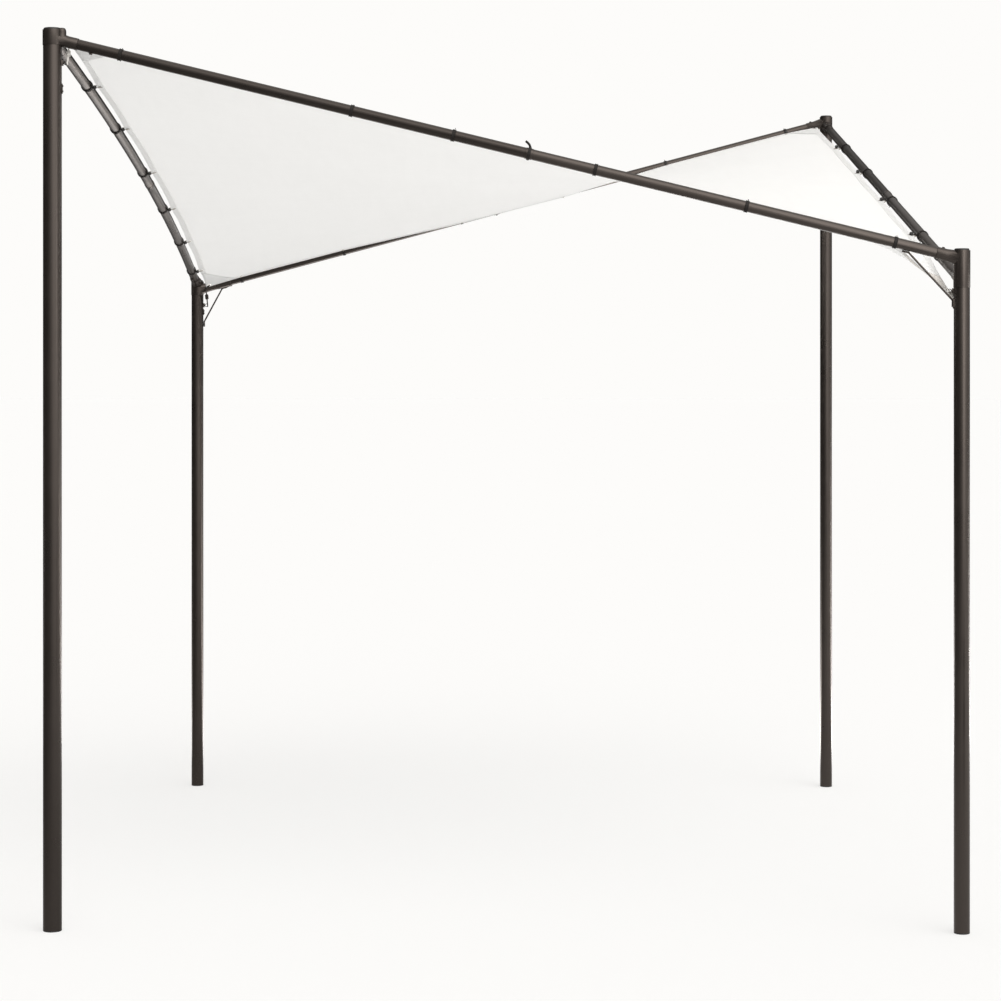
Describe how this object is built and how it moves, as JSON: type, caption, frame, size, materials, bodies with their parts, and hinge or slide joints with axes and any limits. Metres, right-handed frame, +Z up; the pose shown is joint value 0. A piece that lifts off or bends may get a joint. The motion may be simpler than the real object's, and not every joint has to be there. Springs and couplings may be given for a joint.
{
  "type": "sail gazebo",
  "caption": "Open steel-framed gazebo with high and low posts on opposite corners, and a saddle-shaped fabric sail tied inside thin round beams.",
  "frame": {"origin": "centre of the plan, on the floor between the four posts", "axes": "+Z up; the front is at -Y and the left at -X; the left front and right back posts are the high ones"},
  "size_m": [3.0148, 2.9548, 2.94],
  "materials": {
    "frame_steel": "satin dark brown powder coat with a fine texture",
    "plug_plastic": "matt black-brown moulded plastic",
    "sail_cloth": "white polyester cloth, fine plain weave, lets some light through",
    "tie_webbing": "woven brown-grey strap",
    "lashing_cord": "braided pale cord"
  },
  "bodies": {
    "root": {"post_left_front": "frame_steel", "foot_left_front": "plug_plastic", "cap_left_front": "plug_plastic", "bracket_left_front": "frame_steel", "lashing_left_front": "lashing_cord", "post_right_front": "frame_steel", "foot_right_front": "plug_plastic", "cap_right_front": "plug_plastic", "bracket_right_front": "frame_steel", "lashing_right_front": "lashing_cord", "post_left_back": "frame_steel", "foot_left_back": "plug_plastic", "cap_left_back": "plug_plastic", "bracket_left_back": "frame_steel", "lashing_left_back": "lashing_cord", "post_right_back": "frame_steel", "foot_right_back": "plug_plastic", "cap_right_back": "plug_plastic", "bracket_right_back": "frame_steel", "lashing_right_back": "lashing_cord", "beam_front": "frame_steel", "tie_front_1": "tie_webbing", "tie_front_2": "tie_webbing", "tie_front_3": "tie_webbing", "tie_front_4": "tie_webbing", "tie_front_5": "tie_webbing", "tie_front_6": "tie_webbing", "beam_left": "frame_steel", "tie_left_1": "tie_webbing", "tie_left_2": "tie_webbing", "tie_left_3": "tie_webbing", "tie_left_4": "tie_webbing", "tie_left_5": "tie_webbing", "tie_left_6": "tie_webbing", "beam_right": "frame_steel", "tie_right_1": "tie_webbing", "tie_right_2": "tie_webbing", "tie_right_3": "tie_webbing", "tie_right_4": "tie_webbing", "tie_right_5": "tie_webbing", "beam_back": "frame_steel", "tie_back_1": "tie_webbing", "tie_back_2": "tie_webbing", "tie_back_3": "tie_webbing", "tie_back_4": "tie_webbing", "tie_back_5": "tie_webbing", "tie_back_6": "tie_webbing", "brace_right_front": "frame_steel", "brace_left_back": "frame_steel", "sail": "sail_cloth"}
  },
  "joints": []
}
